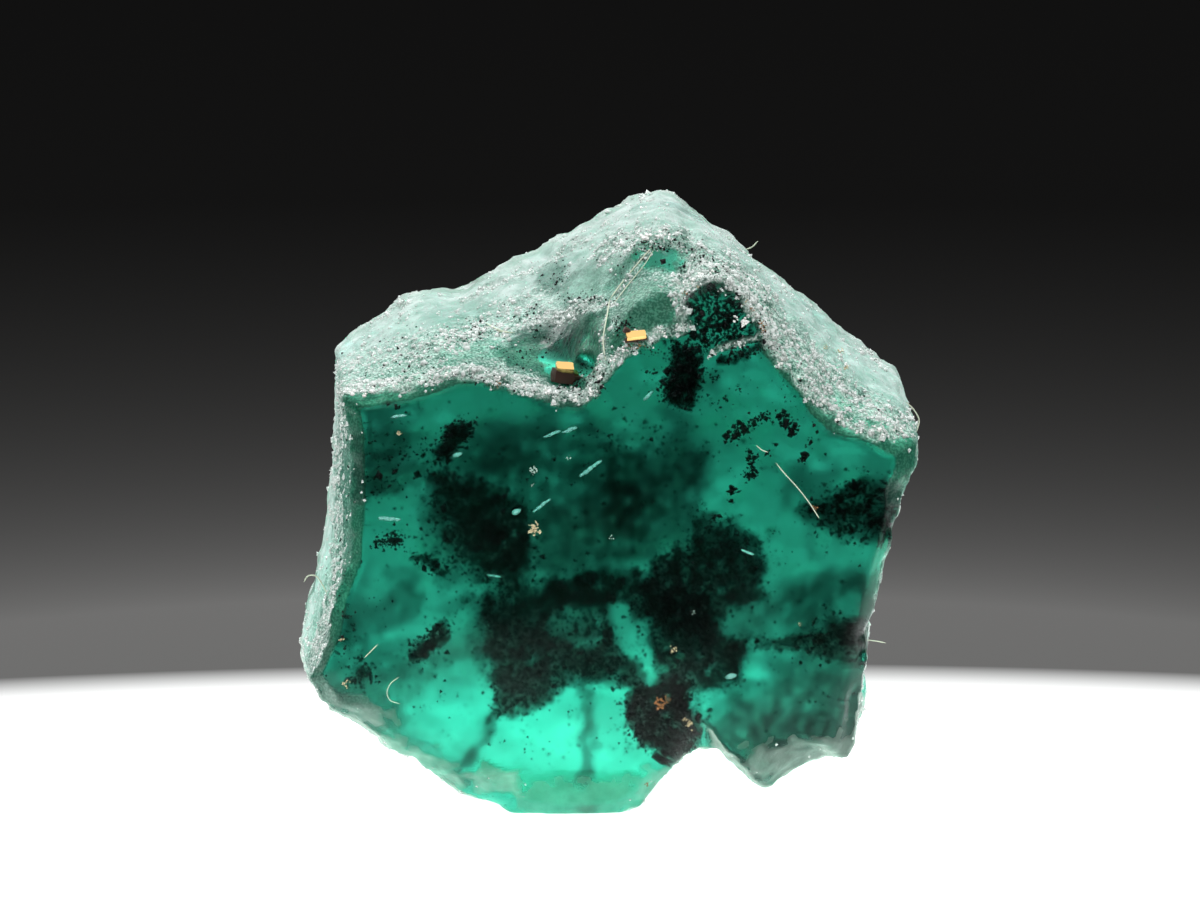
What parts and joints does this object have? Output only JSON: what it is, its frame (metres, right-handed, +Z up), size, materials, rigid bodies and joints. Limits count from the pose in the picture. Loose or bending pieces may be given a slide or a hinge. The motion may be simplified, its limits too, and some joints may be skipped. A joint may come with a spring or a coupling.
{
  "type": "trapiche emerald crystal",
  "caption": "Loose rough trapiche emerald: a short six-sided green beryl crystal with dark carbon spokes, chipped at its top and flat where it is broken off below.",
  "frame": {"origin": "middle of the flat broken base, on the surface that the stone rests on", "axes": "+Z up, -Y out of the clear six-cornered face, so the crystal's long axis lies along Y; +X to the right as that face is looked at"},
  "size_m": [0.0057, 0.0034, 0.0054],
  "materials": {
    "emerald": "gloss",
    "pyrite": "gloss",
    "carbon": "matte",
    "dust": "matte"
  },
  "bodies": {
    "root": {"emerald_crystal": "emerald"}
  },
  "joints": []
}
